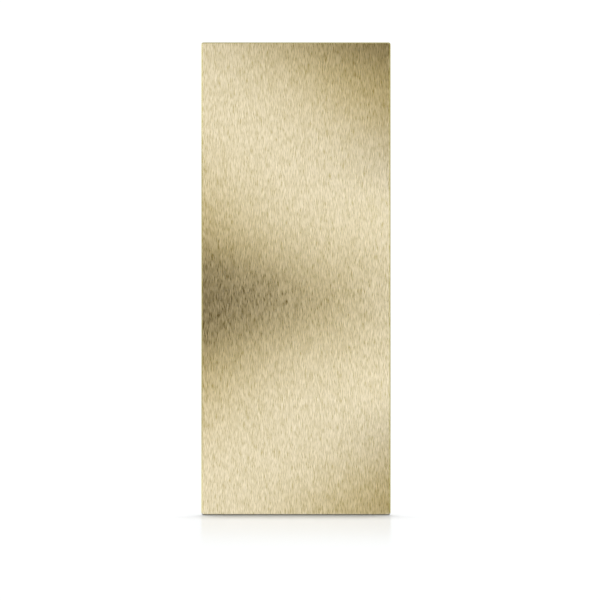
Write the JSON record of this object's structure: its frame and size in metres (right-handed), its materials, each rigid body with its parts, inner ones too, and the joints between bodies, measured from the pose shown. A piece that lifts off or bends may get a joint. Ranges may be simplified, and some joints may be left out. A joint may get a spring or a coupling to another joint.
{
  "type": "door kick plate",
  "caption": "Flat rectangular kick plate in brushed satin brass with bevelled front edges, held to a door by foam tape strips on its back, each under a peel-off paper liner.",
  "frame": {"origin": "centre of the adhesive plane, the outer face of the foam tape, which lies on the door", "axes": "+Z along the plate's long side and its brushed grain; +X along its short side; +Y into the door, so the decorated face looks along -Y. It stands on its short end; fitted to a door it is turned a quarter turn about Y"},
  "size_m": [0.3048, 0.0028, 0.762],
  "materials": {
    "satin_brass": "satin",
    "foam_tape": "matte",
    "liner_paper": "satin"
  },
  "bodies": {
    "plate": {"face_plate": "satin_brass", "tape_edge_left": "foam_tape", "tape_edge_right": "foam_tape", "tape_end_bottom": "foam_tape", "tape_cross_1": "foam_tape", "tape_cross_2": "foam_tape", "tape_cross_3": "foam_tape", "tape_cross_4": "foam_tape", "tape_end_top": "foam_tape"},
    "liner_edge_left": {"liner_edge_left": "liner_paper"},
    "liner_edge_right": {"liner_edge_right": "liner_paper"},
    "liner_end_bottom": {"liner_end_bottom": "liner_paper"},
    "liner_cross_1": {"liner_cross_1": "liner_paper"},
    "liner_cross_2": {"liner_cross_2": "liner_paper"},
    "liner_cross_3": {"liner_cross_3": "liner_paper"},
    "liner_cross_4": {"liner_cross_4": "liner_paper"},
    "liner_end_top": {"liner_end_top": "liner_paper"}
  },
  "joints": [
    {"name": "liner_edge_left_peel", "type": "slide", "parent": "plate", "child": "liner_edge_left", "axis": [0, 1, 0], "range_m": [0, 0.04]},
    {"name": "liner_edge_right_peel", "type": "slide", "parent": "plate", "child": "liner_edge_right", "axis": [0, 1, 0], "range_m": [0, 0.04]},
    {"name": "liner_end_bottom_peel", "type": "slide", "parent": "plate", "child": "liner_end_bottom", "axis": [0, 1, 0], "range_m": [0, 0.04]},
    {"name": "liner_cross_1_peel", "type": "slide", "parent": "plate", "child": "liner_cross_1", "axis": [0, 1, 0], "range_m": [0, 0.04]},
    {"name": "liner_cross_2_peel", "type": "slide", "parent": "plate", "child": "liner_cross_2", "axis": [0, 1, 0], "range_m": [0, 0.04]},
    {"name": "liner_cross_3_peel", "type": "slide", "parent": "plate", "child": "liner_cross_3", "axis": [0, 1, 0], "range_m": [0, 0.04]},
    {"name": "liner_cross_4_peel", "type": "slide", "parent": "plate", "child": "liner_cross_4", "axis": [0, 1, 0], "range_m": [0, 0.04]},
    {"name": "liner_end_top_peel", "type": "slide", "parent": "plate", "child": "liner_end_top", "axis": [0, 1, 0], "range_m": [0, 0.04]}
  ]
}
